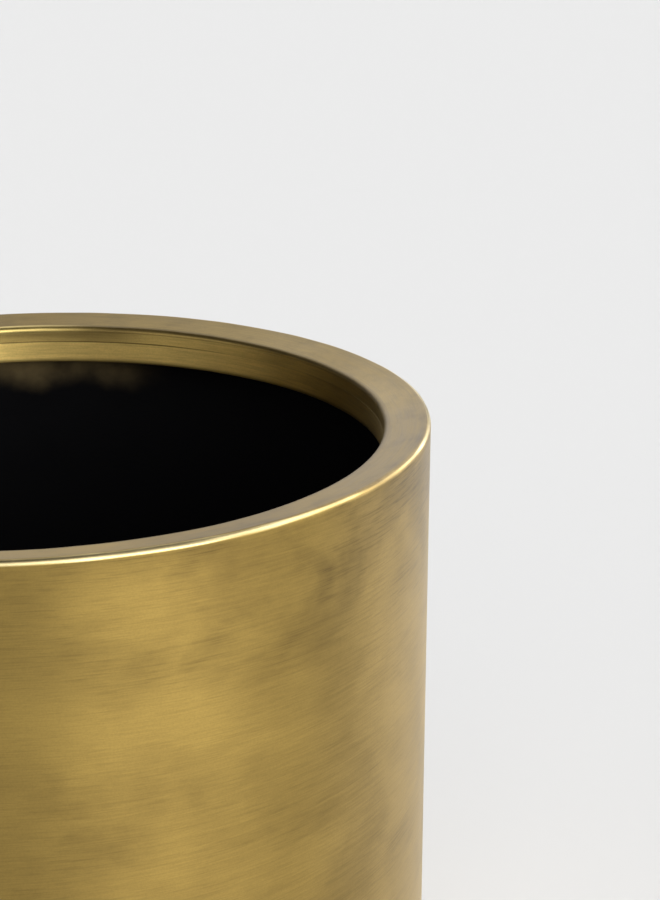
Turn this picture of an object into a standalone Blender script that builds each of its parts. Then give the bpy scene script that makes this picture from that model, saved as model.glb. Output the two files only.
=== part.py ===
"""Round planter pot in antiqued sheet brass.

The pot stands on the XY plane, with its axis on +Z and its origin on the floor under its centre.
It is built as a coppersmith builds one: a rolled wall, a spun rim ring brazed to the wall's top edge,
a skirt band brazed under the ring's inner flange, a spun base pan brazed inside the foot of the wall,
a collar in the pan's drain hole, a sprayed black lining, a rubber plug and four rubber feet.
Lengths are in metres and angles in degrees.
"""

import math

import bmesh
import bpy

# Driving dimensions
OUTER_RADIUS = 0.200
HEIGHT = 0.400
RIM_WIDTH = 0.0228      # from the wall's outer face to the skirt's inner face
RIM_FALL = 0.0043       # how much lower the rim's inner corner lies than its outer corner
SKIRT_DROP = 0.0240     # from the rim's top down to the skirt's lower edge
BEND_RADIUS = 0.0027    # outside radius of both bends of the rim ring
WALL_SHEET = 0.0012
RIM_SHEET = 0.0015
PAN_SHEET = 0.0015
LINING = 0.0005
GAP = 0.0003            # between pieces that touch

# Heights and radii that follow from how the pieces meet
RIM_LAND = 0.0045       # depth of the ring's outer flange, where the wall's top edge butts
RIM_FLANGE = 0.0117     # depth of the ring's inner flange, where the skirt band butts
WALL_FOOT = 0.004       # height of the wall's lower edge above the floor
PAN_TOP = 0.0105        # height of the base pan's upper face
PAN_FLANGE = 0.006      # depth of the base pan's turned-down flange
PAN_BEND = 0.003
LINING_DROP = 0.0065    # from the rim's top down to the lining's upper edge
LINING_CORNER = 0.005   # inside radius between the lining's wall and floor

# Drain collar and plug
COLLAR_BORE = 0.0125
COLLAR_WALL = 0.0012
COLLAR_FLANGE = 0.024
COLLAR_FOOT = 0.0045
PLUG_HEAD_RADIUS = 0.0175
PLUG_HEAD = 0.004
PLUG_TIP_RADIUS = 0.0115
PLUG_NECK_RADIUS = 0.0045
PLUG_NECK = 0.005
PLUG_KNOB_RADIUS = 0.0075
PLUG_KNOB = 0.0045

# Feet
FOOT_COUNT = 4
FOOT_RADIUS = 0.015
FOOT_TOP_RADIUS = 0.0165
FOOT_CIRCLE = 0.150
FOOT_FIRST_ANGLE = 45.0

BODY_STEPS = 80
SMALL_STEPS = 28
BEND_STEPS = 4
SHARP_ANGLE = 32.0

# The pieces' colours, as linear RGB
FINISHES = {
    "antique_brass": ((0.300, 0.215, 0.075), 0.38, 1.0),
    "black_lining": ((0.006, 0.006, 0.007), 0.75, 0.0),
    "black_rubber": ((0.020, 0.020, 0.021), 0.80, 0.0),
}


def clear_scene():
    for obj in list(bpy.data.objects):
        bpy.data.objects.remove(obj, do_unlink=True)


def finish_named(name):
    """A Principled material of one of the finishes, made once."""
    found = bpy.data.materials.get(name)
    if found:
        return found
    colour, roughness, metallic = FINISHES[name]
    material = bpy.data.materials.new(name)
    material.use_nodes = True
    shader = material.node_tree.nodes["Principled BSDF"]
    shader.inputs["Base Color"].default_value = (*colour, 1.0)
    shader.inputs["Roughness"].default_value = roughness
    shader.inputs["Metallic"].default_value = metallic
    material.diffuse_color = (*colour, 1.0)
    return material


def arc(centre, radius, start, end, steps=BEND_STEPS):
    """Points (radius, height) on an arc, where 0 degrees points away from the axis and 90 points up."""
    turn = (end - start) / steps
    angles = [math.radians(start + turn * i) for i in range(steps + 1)]
    return [(centre[0] + radius * math.cos(a), centre[1] + radius * math.sin(a)) for a in angles]


def turned(name, outline, finish, steps=BODY_STEPS, place=(0.0, 0.0, 0.0)):
    """Spins an outline of (radius, height) points about its own upright axis into one closed body.

    An outline that starts and ends on the axis makes a solid piece, and any other makes a ring.
    """
    solid_piece = outline[0][0] == 0.0 and outline[-1][0] == 0.0
    shape = bmesh.new()
    corners = [shape.verts.new((radius, 0.0, height)) for radius, height in outline]
    sides = [shape.edges.new(pair) for pair in zip(corners, corners[1:])]
    if not solid_piece:
        sides.append(shape.edges.new((corners[-1], corners[0])))
    bmesh.ops.spin(
        shape,
        geom=corners + sides,
        cent=(0.0, 0.0, 0.0),
        axis=(0.0, 0.0, 1.0),
        angle=math.tau,
        steps=steps,
        use_merge=True,
    )
    bmesh.ops.remove_doubles(shape, verts=shape.verts, dist=1e-6)
    bmesh.ops.recalc_face_normals(shape, faces=shape.faces)
    mesh = bpy.data.meshes.new(name)
    shape.to_mesh(mesh)
    shape.free()
    mesh.shade_smooth()
    mesh.set_sharp_from_angle(angle=math.radians(SHARP_ANGLE))
    mesh.materials.append(finish_named(finish))
    obj = bpy.data.objects.new(name, mesh)
    obj.location = place
    bpy.context.scene.collection.objects.link(obj)
    return obj


def add_wall(pot):
    """The rolled cylinder, from just above the floor to the rim ring."""
    top = HEIGHT - RIM_LAND - GAP
    inner = OUTER_RADIUS - WALL_SHEET
    outline = [(OUTER_RADIUS, top), (inner, top), (inner, WALL_FOOT), (OUTER_RADIUS, WALL_FOOT)]
    turned("wall", outline, "antique_brass").parent = pot


def rim_face(offset):
    """The rim ring's section from its outer flange over the top to its inner flange.

    offset is how far inside the sheet's outer face the line runs, so 0 is the outer face.
    """
    bend = BEND_RADIUS - offset
    tilt = math.degrees(math.atan2(RIM_FALL, RIM_WIDTH))
    outer_centre = (OUTER_RADIUS - BEND_RADIUS, HEIGHT - BEND_RADIUS)
    run = RIM_WIDTH - 2 * BEND_RADIUS
    inner_centre = (outer_centre[0] - run, outer_centre[1] - run * RIM_FALL / RIM_WIDTH)
    outer_face = OUTER_RADIUS - offset
    inner_face = OUTER_RADIUS - RIM_WIDTH + offset
    return [
        (outer_face, HEIGHT - RIM_LAND),
        *arc(outer_centre, bend, 0.0, 90.0 + tilt),
        *arc(inner_centre, bend, 90.0 + tilt, 180.0),
        (inner_face, HEIGHT - RIM_FLANGE),
    ]


def add_rim_ring(pot):
    """The spun ring: outer flange, top that falls towards the mouth, and inner flange."""
    outline = rim_face(0.0) + rim_face(RIM_SHEET)[::-1]
    turned("rim_ring", outline, "antique_brass").parent = pot


def add_rim_skirt(pot):
    """The band that hangs below the ring's inner flange, with a dressed lower edge."""
    inner = OUTER_RADIUS - RIM_WIDTH
    outer = inner + RIM_SHEET
    top = HEIGHT - RIM_FLANGE - GAP
    bottom = HEIGHT - SKIRT_DROP
    dressed = RIM_SHEET / 2
    edge = arc((inner + dressed, bottom + dressed), dressed, 180.0, 360.0)
    turned("rim_skirt", [(inner, top), *edge, (outer, top)], "antique_brass").parent = pot


def add_base_pan(pot):
    """The spun floor with a turned-down flange and the drain hole."""
    hole = COLLAR_BORE + COLLAR_WALL + GAP
    outer = OUTER_RADIUS - WALL_SHEET - GAP
    under = PAN_TOP - PAN_SHEET
    centre = (outer - PAN_BEND, PAN_TOP - PAN_BEND)
    lip = PAN_TOP - PAN_FLANGE
    outline = [
        (hole, PAN_TOP),
        (hole, under),
        *arc(centre, PAN_BEND - PAN_SHEET, 90.0, 0.0),
        (outer - PAN_SHEET, lip),
        (outer, lip),
        *arc(centre, PAN_BEND, 0.0, 90.0),
    ]
    turned("base_pan", outline, "antique_brass").parent = pot


def add_drain_collar(pot):
    """The flanged tube brazed into the pan's hole, which the plug seals against."""
    outer = COLLAR_BORE + COLLAR_WALL
    seat = PAN_TOP + GAP
    top = seat + COLLAR_WALL
    outline = [
        (COLLAR_BORE, top),
        (COLLAR_BORE, COLLAR_FOOT),
        (outer, COLLAR_FOOT),
        (outer, seat),
        (COLLAR_FLANGE, seat),
        (COLLAR_FLANGE, top),
    ]
    turned("drain_collar", outline, "antique_brass", SMALL_STEPS).parent = pot


def add_inner_lining(pot):
    """The sprayed waterproof coat on the inside of the wall and on the floor."""
    outer = OUTER_RADIUS - WALL_SHEET - GAP
    inner = outer - LINING
    top = HEIGHT - LINING_DROP
    under = PAN_TOP + GAP
    floor = under + LINING
    hole = COLLAR_FLANGE + GAP
    corner = (inner - LINING_CORNER, floor + LINING_CORNER)
    outline = [
        (hole, floor),
        *arc(corner, LINING_CORNER, 270.0, 360.0),
        (inner, top),
        (outer, top),
        (outer, under),
        (hole, under),
    ]
    turned("inner_lining", outline, "black_lining").parent = pot


def add_drain_plug(pot):
    """The rubber bung: tapered shank, head that covers the collar, and a knob to pull it by."""
    seat = PAN_TOP + GAP + COLLAR_WALL + GAP
    shank = COLLAR_BORE - GAP
    tip = COLLAR_FOOT + GAP - seat
    head = PLUG_HEAD
    neck = head + PLUG_NECK
    knob = neck + PLUG_KNOB
    soft = PLUG_HEAD / 4
    dome = PLUG_KNOB / 2
    outline = [
        (0.0, tip),
        (PLUG_TIP_RADIUS, tip),
        (shank, -GAP),
        (shank, 0.0),
        (PLUG_HEAD_RADIUS, 0.0),
        *arc((PLUG_HEAD_RADIUS - soft, head - soft), soft, 0.0, 90.0),
        (PLUG_NECK_RADIUS, head),
        (PLUG_NECK_RADIUS, neck),
        *arc((PLUG_KNOB_RADIUS - dome, neck + dome), dome, -90.0, 90.0),
        (0.0, knob),
    ]
    place = (0.0, 0.0, seat)
    turned("drain_plug", outline, "black_rubber", SMALL_STEPS, place).parent = pot


def add_feet(pot):
    """Rubber feet stuck under the base pan, standing clear of the wall's lower edge."""
    top = PAN_TOP - PAN_SHEET - GAP
    soft = 0.001
    outline = [
        (0.0, 0.0),
        *arc((FOOT_RADIUS - soft, soft), soft, 270.0, 360.0, steps=2),
        (FOOT_TOP_RADIUS, top),
        (0.0, top),
    ]
    for index in range(FOOT_COUNT):
        angle = math.radians(FOOT_FIRST_ANGLE + 360.0 * index / FOOT_COUNT)
        place = (FOOT_CIRCLE * math.cos(angle), FOOT_CIRCLE * math.sin(angle), 0.0)
        turned(f"foot_{index + 1}", outline, "black_rubber", SMALL_STEPS, place).parent = pot


def main():
    clear_scene()
    pot = bpy.data.objects.new("planter_pot", None)
    bpy.context.scene.collection.objects.link(pot)
    for add in (
        add_wall,
        add_rim_ring,
        add_rim_skirt,
        add_inner_lining,
        add_base_pan,
        add_drain_collar,
        add_drain_plug,
        add_feet,
    ):
        add(pot)


main()
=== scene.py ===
"""Looks of a round planter pot in antiqued sheet brass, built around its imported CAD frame.

Each turned piece is made again with fine steps, rounded edges and closed brazed seams. The wall, the rim,
the skirt and the black coat share one slight unevenness, because the pot is rolled and dressed by hand.
Lengths are in metres, and angles in degrees.
"""

import math

import bpy
from mathutils import Matrix, Vector


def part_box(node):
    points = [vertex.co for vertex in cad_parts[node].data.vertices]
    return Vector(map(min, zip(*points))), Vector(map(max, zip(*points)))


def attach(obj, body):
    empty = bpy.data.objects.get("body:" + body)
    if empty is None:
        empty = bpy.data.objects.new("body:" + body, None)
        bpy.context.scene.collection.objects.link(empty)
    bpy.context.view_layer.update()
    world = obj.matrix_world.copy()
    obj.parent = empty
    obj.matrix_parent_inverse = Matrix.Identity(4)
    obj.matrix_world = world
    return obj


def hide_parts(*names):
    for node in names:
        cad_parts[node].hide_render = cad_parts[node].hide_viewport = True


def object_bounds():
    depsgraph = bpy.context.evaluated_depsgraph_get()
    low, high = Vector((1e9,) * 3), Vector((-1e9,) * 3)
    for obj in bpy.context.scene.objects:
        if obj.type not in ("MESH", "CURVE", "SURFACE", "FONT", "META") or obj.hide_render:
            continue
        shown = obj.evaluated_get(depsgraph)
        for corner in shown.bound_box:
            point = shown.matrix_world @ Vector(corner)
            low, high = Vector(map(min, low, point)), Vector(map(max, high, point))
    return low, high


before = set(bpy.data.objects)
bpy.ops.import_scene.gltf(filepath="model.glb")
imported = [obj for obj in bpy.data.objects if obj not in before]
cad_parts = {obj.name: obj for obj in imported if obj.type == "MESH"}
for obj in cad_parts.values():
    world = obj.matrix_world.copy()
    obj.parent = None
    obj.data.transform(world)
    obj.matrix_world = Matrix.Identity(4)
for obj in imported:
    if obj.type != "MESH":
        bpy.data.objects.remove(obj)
CAD_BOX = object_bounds()


# ---- Sizes, read from the CAD nodes -------------------------------------------------------------


def reach(node):
    """A CAD node's least and greatest radius about the pot's axis, and its lowest and highest height."""
    points = [vertex.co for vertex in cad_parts[node].data.vertices]
    radii = [math.hypot(point.x, point.y) for point in points]
    heights = [point.z for point in points]
    return min(radii), max(radii), min(heights), max(heights)


MOUTH, OUTER, RING_FOOT, TOP = reach("rim_ring")
WALL_INSIDE, _, WALL_FOOT, WALL_TOP = reach("wall")
_, _, SKIRT_FOOT, _ = reach("rim_skirt")
COAT_HOLE, _, _, COAT_TOP = reach("inner_lining")
PAN_HOLE, _, PAN_LIP, PAN_TOP = reach("base_pan")
BORE, COLLAR_RIM, COLLAR_FOOT, COLLAR_TOP = reach("drain_collar")
PLUG_TIP, PLUG_TOP = reach("drain_plug")[2:]
FOOT_LOW, FOOT_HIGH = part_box("foot_1")
FOOT_NAMES = [f"foot_{index}" for index in (1, 2, 3, 4)]

SEAM = 0.0003           # the gap that the CAD pieces keep, closed here
SHEET = 0.0015          # thickness of the ring, the skirt and the pan
BEND = 0.0027           # outside radius of the rim's two bends
RIM_FALL = 0.0043       # how much lower the rim lies at its inner bend
COAT = 0.0008           # thickness of the black coat
COLLAR_WALL = 0.0012
RING_SEAM = WALL_TOP + SEAM

PAN_BEND = 0.003
EDGE = 0.0004           # rounding of the wall's lower edges
COLLAR_EDGE = 0.0003    # rounding of the collar's edges
COAT_CORNER = 0.005     # inside radius between the coat's side and its floor
JOINT_LINE = 0.00006    # the dressed edges that show the joint of rim and skirt as a hairline

PLUG_HEAD_RADIUS = 0.0175
PLUG_HEAD = 0.004
PLUG_TIP_RADIUS = 0.0115
PLUG_NECK_RADIUS = 0.0045
PLUG_NECK_TOP = 0.009   # above the plug's seat
PLUG_NECK_ROOT = 0.0012
PLUG_KNOB_RADIUS = 0.0075
FOOT_TAPER = 0.0015     # how much wider a foot is at its top
FOOT_GROOVE = 0.0095    # radius of the moulded groove under a foot
GROOVE_DEPTH = 0.0006
SOFT = 0.0010           # rounding of moulded rubber

BODY_STEPS = 360
SMALL_STEPS = 96
BODY_LENGTH = 0.010     # the longest side of a large piece's outline
RIM_LENGTH = 0.002      # the same for the rim and the skirt
SHARP = 40.0            # an edge whose two faces turn by more than this is shown crisp
SHARP_RUBBER = 50.0

# Unevenness, as waves of (size, waves round the pot, phase, twist up the pot)
OUTWARD_WAVES = [
    (0.00022, 2, 0.6, 0.0),
    (0.00012, 3, 2.1, 4.0),
    (0.00008, 5, -1.3, 9.0),
    (0.00005, 11, 0.7, -13.0),
]
UPWARD_WAVES = [(0.00020, 2, -0.9, 0.0), (0.00010, 5, 1.7, 0.0), (0.00005, 13, 0.4, 0.0)]
RIPPLES = [(0.00003, 29, 0.0, 0.0), (0.00002, 47, 1.1, 0.0)]


# ---- Outlines, as (radius, height) points -------------------------------------------------------


def arc(centre, radius, start, end, steps):
    """Points on an arc, where 0 degrees points away from the axis and 90 points up."""
    turn = (end - start) / steps
    angles = [math.radians(start + turn * i) for i in range(steps + 1)]
    return [(centre[0] + radius * math.cos(a), centre[1] + radius * math.sin(a)) for a in angles]


def stretch(start, end, pieces):
    """Points that divide a straight stretch, without its two ends."""
    shares = [i / pieces for i in range(1, pieces)]
    return [(start[0] + (end[0] - start[0]) * s, start[1] + (end[1] - start[1]) * s) for s in shares]


def divided(corners, longest):
    """A closed outline through the corners, with no side longer than that."""
    outline = []
    for start, end in zip(corners, corners[1:] + corners[:1]):
        pieces = math.ceil(math.dist(start, end) / longest)
        outline += [start, *stretch(start, end, pieces)]
    return outline


def enclosed_area(outline):
    """Positive where the outline runs anticlockwise, with radius to the right and height up."""
    pairs = zip(outline, outline[1:] + outline[:1])
    return sum(r1 * z2 - r2 * z1 for (r1, z1), (r2, z2) in pairs) / 2


# ---- Turning ------------------------------------------------------------------------------------


def smoothstep(low, high, value):
    """0 up to low, 1 from high on, and a smooth change between them."""
    share = min(max((value - low) / (high - low), 0.0), 1.0)
    return share * share * (3 - 2 * share)


def swell(waves, turn, rise):
    """How far a set of waves reaches at that turn round the pot and that share of its height."""
    return sum(size * math.sin(count * turn + phase + twist * rise) for size, count, phase, twist in waves)


def handmade(point):
    """A point of the pot's shell, moved a few tenths of a millimetre by the making.

    The foot stays round and level. The unevenness grows towards the rim.
    """
    turn = math.atan2(point.y, point.x)
    rise = point.z / TOP
    loose = smoothstep(0.05, 0.35, rise)
    rim = smoothstep(0.90, 1.0, rise)
    ripple = swell(RIPPLES, turn, rise)
    outward = loose * swell(OUTWARD_WAVES, turn, rise) + rim * ripple
    upward = rim * (swell(UPWARD_WAVES, turn, rise) + ripple)
    return point + Vector((math.cos(turn) * outward, math.sin(turn) * outward, upward))


def turned(name, outline, material, steps=BODY_STEPS, place=(0.0, 0.0, 0.0), uneven=False, sharp=SHARP):
    """Turns an outline about its own upright axis into one closed piece.

    An outline that starts and ends on the axis makes a solid piece, and any other makes a ring.
    """
    points, rows = [], []
    for radius, height in outline:
        around = steps if radius > 0.0 else 1
        rows.append([len(points) + i % around for i in range(steps)])
        for i in range(around):
            turn = math.tau * i / steps
            points.append(Vector((radius * math.cos(turn), radius * math.sin(turn), height)))
    solid_piece = outline[0][0] == 0.0 and outline[-1][0] == 0.0
    following = rows[1:] if solid_piece else rows[1:] + rows[:1]
    faces = []
    for row, after in zip(rows, following):
        for i in range(steps):
            corners = (row[i], row[i - 1], after[i - 1], after[i])
            faces.append(tuple(dict.fromkeys(corners)))
    if enclosed_area(outline) > 0.0:
        faces = [face[::-1] for face in faces]
    mesh = bpy.data.meshes.new(name)
    mesh.from_pydata([handmade(point) for point in points] if uneven else points, [], faces)
    mesh.shade_smooth()
    mesh.set_sharp_from_angle(angle=math.radians(sharp))
    mesh.materials.append(material)
    piece = bpy.data.objects.new(name, mesh)
    piece.location = place
    bpy.context.scene.collection.objects.link(piece)
    return piece


def settle(piece, body, slot, *nodes):
    """Says which body the piece moves with and which CAD nodes it stands for; the slot is not used."""
    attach(piece, body)
    if nodes:
        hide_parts(*nodes)


# ---- Material nodes -----------------------------------------------------------------------------


class Recipe:
    """One material, and short ways to add nodes to it."""

    def __init__(self, name):
        self.material = bpy.data.materials.new(name)
        self.material.use_nodes = True
        self.tree = self.material.node_tree
        self.shader = self.tree.nodes["Principled BSDF"]

    def set(self, node, key, value):
        """Gives a node's input a value, or a link where the value is another node's output."""
        socket = node.inputs[key]
        if isinstance(value, bpy.types.NodeSocket):
            self.tree.links.new(value, socket)
        else:
            socket.default_value = value

    def add(self, kind, inputs, **settings):
        node = self.tree.nodes.new(kind)
        for key, value in settings.items():
            setattr(node, key, value)
        for key, value in inputs.items():
            self.set(node, key, value)
        return node

    def finish(self, **inputs):
        """Sets the Principled shader's own inputs, whose names are written with _ for a space."""
        for key, value in inputs.items():
            self.set(self.shader, key.replace("_", " "), value)
        return self.material

    def math(self, operation, first, second=0.0, third=0.0):
        node = self.add("ShaderNodeMath", {0: first, 1: second, 2: third}, operation=operation)
        return node.outputs[0]

    def place(self):
        """x, y, z, and the distance from the pot's axis."""
        where = self.add("ShaderNodeTexCoord", {}).outputs["Object"]
        split = self.add("ShaderNodeSeparateXYZ", {0: where})
        x, y, z = split.outputs
        flat = self.add("ShaderNodeCombineXYZ", {0: x, 1: y})
        away = self.add("ShaderNodeVectorMath", {0: flat.outputs[0]}, operation="LENGTH")
        return x, y, z, away.outputs["Value"]

    def grain(self, around, across, start, shift=0.0):
        """Noise coordinates drawn out round the axis, for a pattern and a shift of where it starts.

        The grain runs on over the rim, because height less radius grows from the wall to the mouth.
        """
        x, y, z, away = self.place()
        rise = self.math("SUBTRACT", z, away)
        made = self.add(
            "ShaderNodeCombineXYZ",
            {
                0: self.math("MULTIPLY_ADD", x, around, start + shift),
                1: self.math("MULTIPLY", y, around),
                2: self.math("MULTIPLY", rise, across),
            },
        )
        return made.outputs[0]

    def noise(self, vector, detail, roughness=0.5, distortion=0.0):
        inputs = {"Vector": vector, "Scale": 1.0, "Detail": detail, "Roughness": roughness}
        node = self.add("ShaderNodeTexNoise", {**inputs, "Distortion": distortion})
        return node.outputs[0]

    def ease(self, value, low, high, first=0.0, last=1.0):
        """A smooth change from first, where value is at low, to last, where it is at high."""
        inputs = {0: value, 1: low, 2: high, 3: first, 4: last}
        node = self.add("ShaderNodeMapRange", inputs, interpolation_type="SMOOTHSTEP")
        return node.outputs[0]

    def blend(self, share, first, second):
        """A mix of two colours."""
        inputs = {0: share, 6: first, 7: second}
        node = self.add("ShaderNodeMix", inputs, data_type="RGBA")
        return node.outputs[2]

    def bump(self, height, depth, strength=1.0):
        inputs = {"Strength": strength, "Distance": depth, "Height": height}
        return self.add("ShaderNodeBump", inputs).outputs[0]


def colour(red, green, blue):
    return (red, green, blue, 1.0)


# ---- Brass --------------------------------------------------------------------------------------

GOLD = colour(0.354, 0.242, 0.066)      # the wall, where the patina is thin
REFLECTION_GOLD = colour(0.380, 0.268, 0.097)      # the wall on its +X side, a greyer, paler gold: a painted reflection of the pale room
BROWN = colour(0.245, 0.165, 0.047)     # the wall, under thicker patina
UMBER = colour(0.090, 0.060, 0.021)     # stains, and the colour of painted shade
TAN = colour(0.262, 0.183, 0.055)       # the dull top of the rim
PALE_REFLECTION = colour(0.325, 0.232, 0.076)      # the rim's top at the back, paler: a painted reflection
OLIVE = colour(0.330, 0.238, 0.080)     # a duller patch of the rim's inner flange
BRIGHT = colour(0.600, 0.490, 0.255)    # brass rubbed bright on the outer bend
INNER_HIGHLIGHT = colour(0.560, 0.430, 0.150)     # painted highlight: golden brass on the inner bend at the back-left
YELLOW = colour(0.800, 0.583, 0.190)    # the skirt, the cleanest brass of all

# Each pattern as (noise cells in a metre round the pot, the same across the grain, where its noise starts)
BROAD = (7.0, 8.0, 151.0)
CLOUDS = (20.0, 27.0, 120.0)
STREAKS = (26.0, 820.0, 7.0)
HAIRS = (95.0, 2100.0, 3.0)
STROKES = (50.0, 1400.0, 17.0)
PATCHES = (17.0, 25.0, 173.0)
SPOTS = (55.0, 75.0, 21.0)
SPECKS = (1100.0, 1100.0, 0.0)
SKIRT_SHIFT = 5.0       # added to where the noise starts, so that no piece repeats the wall
HIDDEN_SHIFT = 11.0

# Where the patterns lie, as pairs of places between which they come up
STAIN_BAND = (TOP - 0.090, TOP - 0.025)
WORKED_EDGE = (OUTER - 0.013, OUTER - 0.003)
DULL_FLANGE = (RING_FOOT, RING_FOOT + 0.0045)
FACE_CHANGE = (-0.0008, 0.0008)         # from the rim's top to a flange, measured across the corner
OUTER_BEND = (-0.0024, -0.0017)         # measured out and up from the rim's outer corner
INNER_BEND = (-0.0023, -0.0017)         # measured in and up from its inner corner
SKIRT_EDGE = (SKIRT_FOOT + 0.0004, SKIRT_FOOT + 0.0030)
SKIRT_JOINT = (RING_FOOT - 0.0007, RING_FOOT - 0.0001)

# Sides of the pot, in degrees round from -Y towards +X
STAINED_SIDE = 51.5
REFLECTION_SIDE = 95.0
SHADED_TOP_SIDE = 50.0
PALE_TOP_SIDE = 145.0
SHADED_INSIDE = 90.0
DULL_INSIDE = 180.0
HIGHLIT_INSIDE = 200.0

WALL_GLOSS = 0.42       # roughness in the mean, as the next two
RIM_GLOSS = 0.46
DULL_GLOSS = 0.48
GRAIN_STRETCH = 0.7     # how much a reflection is drawn out across the grain
RIM_STRETCH = 0.5
ACROSS_GRAIN = 0.25     # a quarter turn from the tangent that runs round the pot
LINE_SHARE = 0.13       # how much the hair lines darken the brass
SPECK_SHARE = 0.09
RELIEF = 0.00002        # depth of the brushed lines


def brushing(recipe, shift=0.0):
    """Four layers of the brushing, from broad clouds to hair lines, each about 0.5 in the mean."""
    broad = recipe.noise(recipe.grain(*BROAD, shift), detail=2.0, distortion=0.3)
    clouds = recipe.noise(recipe.grain(*CLOUDS, shift), detail=4.0, distortion=0.3)
    streaks = recipe.noise(recipe.grain(*STREAKS, shift), detail=2.0, roughness=0.6)
    hairs = recipe.noise(recipe.grain(*HAIRS, shift), detail=2.0, roughness=0.7)
    return broad, clouds, streaks, hairs


def sum_of(recipe, *shares):
    """A weighted sum of sockets, given as (socket, weight) pairs."""
    total = 0.0
    for socket, weight in shares:
        total = recipe.math("MULTIPLY_ADD", socket, weight, total)
    return total


def towards(recipe, turn):
    """1 on the side of the pot that lies that many degrees round from -Y towards +X, and -1 opposite."""
    x, y, _, away = recipe.place()
    across, along = math.sin(math.radians(turn)), -math.cos(math.radians(turn))
    reach_out = recipe.math("MULTIPLY_ADD", y, along, recipe.math("MULTIPLY", x, across))
    return recipe.math("DIVIDE", reach_out, away)


def stains(recipe):
    """Where the wall is stained: most of all in a band below the rim, on the side towards +X and -Y."""
    z = recipe.place()[2]
    side = recipe.ease(towards(recipe, STAINED_SIDE), 0.35, 0.90, 0.20, 1.0)
    band = recipe.ease(z, *STAIN_BAND)
    patches = recipe.noise(recipe.grain(*PATCHES), detail=4.0, roughness=0.52, distortion=0.3)
    below = recipe.ease(patches, 0.46, 0.74, 0.0, 0.24)
    under_rim = recipe.ease(patches, 0.36, 0.64, 0.06, 0.52)
    near = recipe.math("MULTIPLY", recipe.math("MULTIPLY", band, side), under_rim)
    return recipe.math("MAXIMUM", below, near)


def strokes(recipe):
    """Thin strokes of the brush that bit deeper, where patina stayed."""
    drawn = recipe.noise(recipe.grain(*STROKES), detail=2.0)
    return recipe.ease(drawn, 0.46, 0.72)


def wall_tone(recipe, layers):
    """The wall's colour: thin and thick patina in clouds, greyer and paler towards +X as a painted
    reflection, with stains and strokes.
    """
    broad, clouds, streaks, _ = layers
    mixed = sum_of(recipe, (broad, 0.45), (clouds, 0.37), (streaks, 0.18))
    # painted reflection: the +X side of the wall is tinted greyer and paler; the strokes are also a little
    # stronger there
    reflecting_side = recipe.ease(towards(recipe, REFLECTION_SIDE), 0.45, 0.85)
    tone = recipe.blend(recipe.ease(mixed, 0.33, 0.60), BROWN, recipe.blend(reflecting_side, GOLD, REFLECTION_GOLD))
    stained = stains(recipe)
    share = sum_of(recipe, (stained, 0.36), (reflecting_side, 0.08), (1.0, 0.11))
    drawn = recipe.math("MULTIPLY", strokes(recipe), share)
    umber_share = recipe.math("MULTIPLY_ADD", stained, 0.95, drawn)
    return recipe.blend(umber_share, tone, UMBER)


def brushed(recipe, tone, layers, roughness, anisotropy=GRAIN_STRETCH, worn_and_highlit=None):
    """Finishes a brass recipe: darker hair lines, fine specks, uneven gloss and a faint relief."""
    _, clouds, streaks, hairs = layers
    specks = recipe.noise(recipe.grain(*SPECKS), detail=2.0, roughness=0.6)
    lined = recipe.blend(recipe.ease(hairs, 0.32, 0.64, LINE_SHARE, 0.0), tone, UMBER)
    lined = recipe.blend(recipe.ease(specks, 0.34, 0.60, SPECK_SHARE, 0.0), lined, UMBER)
    rough = sum_of(recipe, (clouds, 0.10), (streaks, 0.08), (hairs, 0.06))
    rough = recipe.math("ADD", rough, roughness - 0.12)
    if worn_and_highlit is not None:
        rough = recipe.math("MULTIPLY_ADD", worn_and_highlit, -0.14, rough)
    tangent = recipe.add("ShaderNodeTangent", {}, direction_type="RADIAL", axis="Z")
    return recipe.finish(
        Base_Color=lined,
        Metallic=1.0,
        Roughness=rough,
        Anisotropic=anisotropy,
        Anisotropic_Rotation=ACROSS_GRAIN,
        Tangent=tangent.outputs[0],
        Normal=recipe.bump(recipe.math("MULTIPLY_ADD", streaks, 0.5, hairs), RELIEF),
    )


def wall_brass():
    """The wall: brushed brass under uneven patina."""
    recipe = Recipe("wall_brass")
    layers = brushing(recipe)
    return brushed(recipe, wall_tone(recipe, layers), layers, WALL_GLOSS)


def rim_top(recipe, patchy):
    """The rim's top: dull and spotted, dustier near its outer edge, with painted shade on its front, right
    side and paler at the back as a painted reflection.
    """
    away = recipe.place()[3]
    near_edge = recipe.ease(away, *WORKED_EDGE, 0.25, 0.45)
    drawn = recipe.math("MULTIPLY", strokes(recipe), 0.15)
    worked = recipe.math("MULTIPLY_ADD", patchy, near_edge, drawn)
    # painted shade: the rim's top darkened on its front, right side
    tint_share = recipe.ease(towards(recipe, SHADED_TOP_SIDE), 0.72, 0.92, 0.0, 0.40)
    spots = recipe.noise(recipe.grain(*SPOTS), detail=4.0, roughness=0.6)
    spotted = recipe.ease(spots, 0.44, 0.70, 0.0, 0.20)
    umber_share = sum_of(recipe, (worked, 0.85), (tint_share, 1.0), (spotted, 1.0))
    # painted reflection: the rim's top is paler at the back, right side
    lit_side = recipe.ease(towards(recipe, PALE_TOP_SIDE), 0.85, 0.98)
    return recipe.blend(umber_share, recipe.blend(lit_side, TAN, PALE_REFLECTION), UMBER)


def rim_flange(recipe, patchy):
    """The rim's inner flange: as yellow as the skirt, but olive at the back, with painted shade on one side.
    """
    z = recipe.place()[2]
    high = recipe.ease(z, *DULL_FLANGE, 0.45, 1.0)
    back = recipe.ease(towards(recipe, DULL_INSIDE), 0.88, 0.98, 0.10, 0.95)
    flange = recipe.blend(recipe.math("MULTIPLY", back, high), YELLOW, OLIVE)
    flange = recipe.blend(recipe.math("MULTIPLY", patchy, 0.25), flange, UMBER)
    shaded = recipe.ease(towards(recipe, SHADED_INSIDE), 0.84, 0.95, 0.0, 0.35)
    return recipe.blend(shaded, flange, UMBER)


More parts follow.
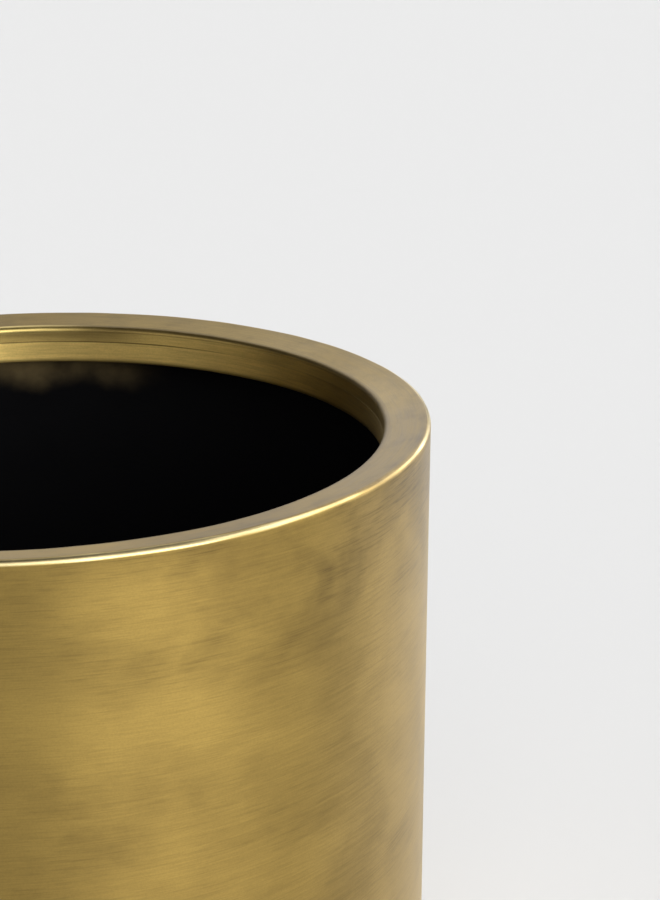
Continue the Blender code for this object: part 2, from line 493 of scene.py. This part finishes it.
def rim_brass():
    """The ring: the wall's tone on its outer flange, a dull top, a yellower inner flange, a bright rubbed
    outer bend, and an inner bend with a painted highlight at the back-left and painted shade along the rest.
    """
    recipe = Recipe("rim_brass")
    layers = brushing(recipe)
    _, clouds, streaks, _ = layers
    _, _, z, away = recipe.place()
    out = recipe.math("SUBTRACT", away, OUTER)
    up = recipe.math("SUBTRACT", z, TOP)
    into = recipe.math("SUBTRACT", MOUTH, away)
    up_inside = recipe.math("ADD", up, RIM_FALL)
    mixed = sum_of(recipe, (clouds, 0.6), (streaks, 0.4))
    patchy = recipe.ease(mixed, 0.36, 0.66, 1.0, 0.0)
    outside = recipe.ease(recipe.math("SUBTRACT", out, up), *FACE_CHANGE)
    inside = recipe.ease(recipe.math("SUBTRACT", into, up_inside), *FACE_CHANGE)
    tone = recipe.blend(outside, rim_top(recipe, patchy), wall_tone(recipe, layers))
    tone = recipe.blend(inside, tone, rim_flange(recipe, patchy))
    outer_bend = recipe.ease(recipe.math("ADD", out, up), *OUTER_BEND)
    inner_bend = recipe.ease(recipe.math("ADD", into, up_inside), *INNER_BEND)
    # painted highlight: the inner bend is brightened at the back-left
    lit_side = recipe.ease(towards(recipe, HIGHLIT_INSIDE), 0.80, 0.97)
    # painted shade: the rest of the inner bend is darkened
    darkened = recipe.math("MULTIPLY", inner_bend, recipe.ease(lit_side, 0.0, 1.0, 0.45, 0.0))
    tone = recipe.blend(darkened, tone, UMBER)
    # the outer bend is rubbed bright; the inner bend carries the painted highlight
    worn_and_highlit = recipe.math("MAXIMUM", outer_bend, recipe.math("MULTIPLY", inner_bend, lit_side))
    rubbed_and_highlit = recipe.math("MULTIPLY", worn_and_highlit, recipe.ease(streaks, 0.25, 0.6, 0.65, 1.0))
    tone = recipe.blend(rubbed_and_highlit, tone, recipe.blend(outer_bend, INNER_HIGHLIGHT, BRIGHT))
    return brushed(recipe, tone, layers, RIM_GLOSS, RIM_STRETCH, worn_and_highlit)


def skirt_brass():
    """The skirt: clean yellow brass, darker along its joint, with painted shade towards its lower edge and
    on one side.
    """
    recipe = Recipe("skirt_brass")
    layers = brushing(recipe, SKIRT_SHIFT)
    _, clouds, streaks, _ = layers
    z = recipe.place()[2]
    mixed = sum_of(recipe, (clouds, 0.4), (streaks, 0.6))
    tone = recipe.blend(recipe.ease(mixed, 0.34, 0.62, 0.30, 0.0), YELLOW, OLIVE)
    # painted shade: darker towards the skirt's rounded lower edge
    low = recipe.ease(z, *SKIRT_EDGE, 0.75, 0.0)
    joint = recipe.ease(z, *SKIRT_JOINT)
    back = recipe.ease(towards(recipe, DULL_INSIDE), 0.70, 0.95, 0.25, 0.8)
    darkened = recipe.math("MAXIMUM", low, recipe.math("MULTIPLY", joint, back))
    tone = recipe.blend(darkened, tone, UMBER)
    shaded = recipe.ease(towards(recipe, SHADED_INSIDE), 0.84, 0.95, 0.0, 0.40)
    tone = recipe.blend(shaded, tone, UMBER)
    return brushed(recipe, tone, layers, RIM_GLOSS)


def dull_brass(name):
    """Brass that nobody sees or rubs, under the pot and round the drain."""
    recipe = Recipe(name)
    layers = brushing(recipe, HIDDEN_SHIFT)
    broad, clouds, streaks, _ = layers
    mixed = sum_of(recipe, (broad, 0.3), (clouds, 0.4), (streaks, 0.3))
    tone = recipe.blend(recipe.ease(mixed, 0.38, 0.62), UMBER, BROWN)
    return brushed(recipe, tone, layers, DULL_GLOSS)


# ---- Coat and rubber ----------------------------------------------------------------------------

# black paint, made darker than paint is: partly painted shade inside the pot
SHADED_COAT_BLACK = colour(0.0012, 0.0012, 0.0016)
BROWN_HAZE = colour(0.150, 0.110, 0.050)
RUBBER_BLACK = colour(0.014, 0.014, 0.015)
RUBBER_BLOOM = colour(0.050, 0.048, 0.045)
HAZE_SIDE = 190.0     # where the brown haze shows on the coat, in degrees round from -Y towards +X
HAZE_BAND = (TOP - 0.039, TOP - 0.015)
HAZE_RAGGED = 0.018     # how far the haze's lower edge wanders
COAT_SHINE = 0.06       # specular level of the matt coat
PEEL_DEPTH = 0.00010    # depth of the orange peel
PORE_DEPTH = 0.00006    # depth of the rubber's pores


def even_noise(recipe, scale, detail, roughness=0.5):
    """Noise with the same cells in all directions, scale of them in a metre."""
    where = recipe.add("ShaderNodeTexCoord", {}).outputs["Object"]
    inputs = {"Vector": where, "Scale": scale, "Detail": detail, "Roughness": roughness}
    return recipe.add("ShaderNodeTexNoise", inputs).outputs[0]


def black_coat():
    """Sprayed black coat: faint orange peel, and a brown haze on it below the skirt at the back."""
    recipe = Recipe("sprayed_black_coat")
    z = recipe.place()[2]
    peel = even_noise(recipe, 420.0, 2.0)
    drift = even_noise(recipe, 34.0, 4.0)
    side = recipe.ease(towards(recipe, HAZE_SIDE), 0.80, 0.985)
    ragged = recipe.math("MULTIPLY_ADD", drift, HAZE_RAGGED, z)
    high = recipe.ease(ragged, *HAZE_BAND)
    thin = recipe.math("MULTIPLY", recipe.math("MULTIPLY", high, side), recipe.ease(drift, 0.10, 0.78))
    return recipe.finish(
        Base_Color=recipe.blend(thin, SHADED_COAT_BLACK, BROWN_HAZE),
        Roughness=recipe.ease(drift, 0.3, 0.7, 0.70, 0.84),
        Specular_IOR_Level=COAT_SHINE,
        Normal=recipe.bump(peel, PEEL_DEPTH, 0.5),
    )


def rubber(name):
    """Moulded black rubber with a dusty bloom."""
    recipe = Recipe(name)
    bloom = even_noise(recipe, 150.0, 5.0, 0.65)
    pores = even_noise(recipe, 1800.0, 2.0)
    tint_share = recipe.ease(bloom, 0.45, 0.75, 0.0, 0.5)
    return recipe.finish(
        Base_Color=recipe.blend(tint_share, RUBBER_BLACK, RUBBER_BLOOM),
        Roughness=recipe.ease(bloom, 0.3, 0.7, 0.62, 0.85),
        Normal=recipe.bump(pores, PORE_DEPTH, 0.6),
    )


# ---- Pieces -------------------------------------------------------------------------------------


def add_wall():
    """The rolled wall, up to the ring that it is brazed to."""
    corners = [
        *arc((OUTER - EDGE, WALL_FOOT + EDGE), EDGE, 270.0, 360.0, 4),
        (OUTER, RING_SEAM),
        (WALL_INSIDE, RING_SEAM),
        *arc((WALL_INSIDE + EDGE, WALL_FOOT + EDGE), EDGE, 180.0, 270.0, 4),
    ]
    piece = turned("pot_wall", divided(corners, BODY_LENGTH), wall_brass(), uneven=True)
    settle(piece, "pot", "antique_brass", "wall")


def rim_face(offset, steps):
    """The ring's section from its outer flange over the top to its inner flange, offset inside the sheet."""
    bend = BEND - offset
    width = OUTER - MOUTH
    tilt = math.degrees(math.atan2(RIM_FALL, width))
    outer_centre = (OUTER - BEND, TOP - BEND)
    run = width - 2 * BEND
    inner_centre = (outer_centre[0] - run, outer_centre[1] - run * RIM_FALL / width)
    return [
        (OUTER - offset, RING_SEAM),
        *arc(outer_centre, bend, 0.0, 90.0 + tilt, steps),
        *arc(inner_centre, bend, 90.0 + tilt, 180.0, steps),
        (MOUTH + offset, RING_FOOT),
    ]


def add_rim():
    """The spun ring, with a dressed edge where it meets the skirt."""
    over = rim_face(0.0, 14)
    over[-1:] = [(MOUTH, RING_FOOT + JOINT_LINE), (MOUTH + JOINT_LINE, RING_FOOT)]
    corners = over + rim_face(SHEET, 4)[::-1]
    piece = turned("pot_rim", divided(corners, RIM_LENGTH), rim_brass(), uneven=True)
    settle(piece, "pot", "antique_brass", "rim_ring")


def add_skirt():
    """The band under the ring's inner flange, with a rounded lower edge."""
    dressed = SHEET / 2
    corners = [
        (MOUTH + JOINT_LINE, RING_FOOT),
        (MOUTH, RING_FOOT - JOINT_LINE),
        *arc((MOUTH + dressed, SKIRT_FOOT + dressed), dressed, 180.0, 360.0, 10),
        (MOUTH + SHEET, RING_FOOT),
    ]
    piece = turned("pot_skirt", divided(corners, RIM_LENGTH), skirt_brass(), uneven=True)
    settle(piece, "pot", "antique_brass", "rim_skirt")


def add_coat():
    """The black coat on the inside of the wall and on the floor."""
    inner = WALL_INSIDE - COAT
    floor = PAN_TOP + COAT
    corners = [
        (COAT_HOLE, floor),
        *arc((inner - COAT_CORNER, floor + COAT_CORNER), COAT_CORNER, 270.0, 360.0, 10),
        (inner, COAT_TOP),
        (WALL_INSIDE, COAT_TOP),
        (WALL_INSIDE, PAN_TOP),
        (COAT_HOLE, PAN_TOP),
    ]
    piece = turned("pot_coat", divided(corners, BODY_LENGTH), black_coat(), uneven=True)
    settle(piece, "pot", "black_lining", "inner_lining")


def add_pan():
    """The spun floor, with its flange turned down and the hole for the collar."""
    under = PAN_TOP - SHEET
    centre = (WALL_INSIDE - PAN_BEND, PAN_TOP - PAN_BEND)
    corners = [
        (PAN_HOLE, PAN_TOP),
        (PAN_HOLE, under),
        *arc(centre, PAN_BEND - SHEET, 90.0, 0.0, 8),
        (WALL_INSIDE - SHEET, PAN_LIP),
        (WALL_INSIDE, PAN_LIP),
        *arc(centre, PAN_BEND, 0.0, 90.0, 8),
    ]
    piece = turned("pot_pan", divided(corners, BODY_LENGTH), dull_brass("pan_brass"))
    settle(piece, "pot", "antique_brass", "base_pan")


def add_collar():
    """The flanged tube in the floor's hole."""
    edge = COLLAR_EDGE
    outer = BORE + COLLAR_WALL
    seat = COLLAR_TOP - COLLAR_WALL
    outline = [
        *arc((BORE + edge, COLLAR_TOP - edge), edge, 90.0, 180.0, 4),
        *arc((BORE + edge, COLLAR_FOOT + edge), edge, 180.0, 270.0, 4),
        *arc((outer - edge, COLLAR_FOOT + edge), edge, 270.0, 360.0, 4),
        (outer, seat),
        *arc((COLLAR_RIM - edge, seat + edge), edge, 270.0, 360.0, 4),
        *arc((COLLAR_RIM - edge, COLLAR_TOP - edge), edge, 0.0, 90.0, 4),
    ]
    piece = turned("pot_drain_collar", outline, dull_brass("collar_brass"), SMALL_STEPS)
    settle(piece, "pot", "antique_brass", "drain_collar")


def add_plug():
    """The rubber bung: a tapered shank, a head that covers the collar, and a knob to pull it by."""
    seat = COLLAR_TOP + SEAM
    head = seat + PLUG_HEAD
    neck_top = seat + PLUG_NECK_TOP
    shank = BORE - SEAM
    tip, neck, root = PLUG_TIP_RADIUS, PLUG_NECK_RADIUS, PLUG_NECK_ROOT
    edge = SOFT / 2
    dome = (PLUG_TOP - neck_top) / 2
    outline = [
        (0.0, PLUG_TIP),
        *arc((tip - SOFT, PLUG_TIP + SOFT), SOFT, 270.0, 350.0, 5),
        (shank, seat - SEAM),
        (shank, seat),
        *arc((PLUG_HEAD_RADIUS - edge, seat + edge), edge, 270.0, 360.0, 5),
        *arc((PLUG_HEAD_RADIUS - SOFT, head - SOFT), SOFT, 0.0, 90.0, 6),
        *arc((neck + root, head + root), root, 270.0, 180.0, 6),
        (neck, neck_top),
        *arc((PLUG_KNOB_RADIUS - dome, neck_top + dome), dome, 270.0, 450.0, 16),
        (0.0, PLUG_TOP),
    ]
    piece = turned("rubber_plug", outline, rubber("plug_rubber"), SMALL_STEPS, sharp=SHARP_RUBBER)
    settle(piece, "plug", "black_rubber", "drain_plug")


def add_feet():
    """The moulded rubber feet, each with a groove round its underside."""
    low, high = FOOT_LOW.z, FOOT_HIGH.z
    top_radius = (FOOT_HIGH.x - FOOT_LOW.x) / 2
    foot_radius = top_radius - FOOT_TAPER
    outline = [
        (0.0, low),
        (FOOT_GROOVE - GROOVE_DEPTH, low),
        *arc((FOOT_GROOVE, low), GROOVE_DEPTH, 180.0, 0.0, 6),
        *arc((foot_radius - SOFT, low + SOFT), SOFT, 270.0, 360.0, 6),
        (top_radius, high),
        (0.0, high),
    ]
    material = rubber("foot_rubber")
    for name in FOOT_NAMES:
        corner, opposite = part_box(name)
        middle = (corner + opposite) / 2
        piece = turned(f"rubber_{name}", outline, material, SMALL_STEPS, (middle.x, middle.y, 0.0))
        settle(piece, "pot", "black_rubber", name)


# ---- Stage --------------------------------------------------------------------------------------

BACKGROUND = 0.835      # how light the floor and the room look
AMBIENT = 0.10          # how much light the room gives
LIGHT_WIDTH = 45.0      # each lamp's width, as seen from the pot
LAMP_DISTANCE = 3.0     # where the lamps stand in the file, which doesn't change their light
FLOOR_SIZE = 60.0
LIGHTEST_PAPER = 0.95   # no paper is paler than this
RINGS, SPOKES = 12, 24  # rays that sample a lamp's width
UP = Vector((0.0, 0.0, 1.0))

# Each soft light as (degrees round from the camera's side to the right, degrees up, strength)
LIGHTS = [
    (30.0, 8.0, 2.25),
    (60.0, 8.0, 1.15),
    (120.0, 8.0, 1.60),
    (-30.0, 8.0, 0.30),
    (-60.0, 8.0, 0.50),
    (0.0, 35.0, 1.05),
    (30.0, 35.0, 0.60),
    (90.0, 35.0, 1.50),
    (180.0, 35.0, 0.55),
    (122.0, 30.0, 0.50),
    (138.0, 30.0, 0.95),
    (180.0, 8.0, 0.45),
]


def on_floor(direction, half_width):
    """The share of a round light's strength that the floor gets, when part of it is below the horizon."""
    right = direction.cross(UP).normalized()
    above = right.cross(direction)
    level, straight = 0.0, 0.0
    for ring in range(RINGS):
        along = 1.0 - (1.0 - math.cos(half_width)) * (ring + 0.5) / RINGS
        out = math.sqrt(1.0 - along * along)
        for spoke in range(SPOKES):
            turn = math.tau * spoke / SPOKES
            ray = direction * along + (right * math.cos(turn) + above * math.sin(turn)) * out
            level += max(0.0, ray.z)
            straight += along
    return level / straight


def add_lights():
    """Wide, distant lamps, so that the floor is evenly lit. Returns the light that the floor gets."""
    received = math.pi * AMBIENT
    for number, (degrees_round, degrees_up, strength) in enumerate(LIGHTS, start=1):
        data = bpy.data.lights.new(f"soft_light_{number}", "SUN")
        data.angle = math.radians(LIGHT_WIDTH)
        data.energy = strength
        lamp = bpy.data.objects.new(data.name, data)
        turn, up = math.radians(degrees_round), math.radians(degrees_up)
        flat = math.cos(up)
        direction = Vector((math.sin(turn) * flat, -math.cos(turn) * flat, math.sin(up)))
        lamp.rotation_mode = "QUATERNION"
        lamp.rotation_quaternion = direction.to_track_quat("Z", "Y")
        lamp.location = direction * LAMP_DISTANCE
        bpy.context.scene.collection.objects.link(lamp)
        received += strength * on_floor(direction, math.radians(LIGHT_WIDTH / 2))
    return received


def add_floor(received):
    """A wide pale floor that comes out as light as the background."""
    bpy.ops.mesh.primitive_plane_add(size=FLOOR_SIZE, location=(0.0, 0.0, CAD_BOX[0].z))
    floor = bpy.context.object
    floor.name = "studio_floor"
    material = bpy.data.materials.new("studio_paper")
    material.use_nodes = True
    tree = material.node_tree
    tree.nodes.clear()
    paper = tree.nodes.new("ShaderNodeBsdfDiffuse")
    share = min(LIGHTEST_PAPER, BACKGROUND * math.pi / received)
    paper.inputs["Color"].default_value = colour(share, share, share)
    output = tree.nodes.new("ShaderNodeOutputMaterial")
    tree.links.new(paper.outputs[0], output.inputs["Surface"])
    floor.data.materials.append(material)


def add_world():
    """An even pale room: one brightness as the camera sees it, and a lower one as a light."""
    world = bpy.data.worlds.new("studio_room")
    bpy.context.scene.world = world
    world.use_nodes = True
    tree = world.node_tree
    tree.nodes.clear()
    seen = tree.nodes.new("ShaderNodeBackground")
    seen.inputs["Color"].default_value = colour(BACKGROUND, BACKGROUND, BACKGROUND)
    lit = tree.nodes.new("ShaderNodeBackground")
    lit.inputs["Color"].default_value = colour(AMBIENT, AMBIENT, AMBIENT)
    ray = tree.nodes.new("ShaderNodeLightPath")
    chosen = tree.nodes.new("ShaderNodeMixShader")
    output = tree.nodes.new("ShaderNodeOutputWorld")
    tree.links.new(ray.outputs["Is Camera Ray"], chosen.inputs[0])
    tree.links.new(lit.outputs[0], chosen.inputs[1])
    tree.links.new(seen.outputs[0], chosen.inputs[2])
    tree.links.new(chosen.outputs[0], output.inputs["Surface"])


# ---- Camera -------------------------------------------------------------------------------------

CAMERA_DISTANCE = 0.9927    # from the middle of the rim
CAMERA_UP = 17.06           # above the rim's level
CAMERA_LENS = 79.97         # millimetres
CAMERA_SENSOR = 36.0        # millimetres, on its long side
CAMERA_NEAR = 0.05
CAMERA_FAR = 200.0
CAMERA_TURN = 8.67          # how far the view is swung to the pot's right
CAMERA_TIP = 1.43
CAMERA_ROLL = 2.43


def add_camera():
    """A camera that sees the pot's right half from a little above, with the left half outside the view."""
    up = math.radians(CAMERA_UP)
    offset = Vector((0.0, -math.cos(up), math.sin(up))) * CAMERA_DISTANCE
    forward = -offset.normalized()
    right = forward.cross(UP).normalized()
    above = right.cross(forward)
    facing = Matrix((right, above, -forward)).transposed()
    swing = Matrix.Rotation(-math.radians(CAMERA_TURN), 3, "Y")
    tip = Matrix.Rotation(-math.radians(CAMERA_TIP), 3, "X")
    roll = Matrix.Rotation(-math.radians(CAMERA_ROLL), 3, "Z")
    data = bpy.data.cameras.new("studio_camera")
    data.sensor_width = CAMERA_SENSOR
    data.lens = CAMERA_LENS
    data.clip_start = CAMERA_NEAR
    data.clip_end = CAMERA_FAR
    camera = bpy.data.objects.new("studio_camera", data)
    camera.matrix_world = (facing @ swing @ tip @ roll).to_4x4()
    camera.location = Vector((0.0, 0.0, TOP)) + offset
    bpy.context.scene.collection.objects.link(camera)
    bpy.context.scene.camera = camera


def main():
    add_wall()
    add_rim()
    add_skirt()
    add_coat()
    add_pan()
    add_collar()
    add_plug()
    add_feet()
    add_world()
    add_floor(add_lights())
    add_camera()
    bpy.context.scene.view_settings.view_transform = "Standard"


main()
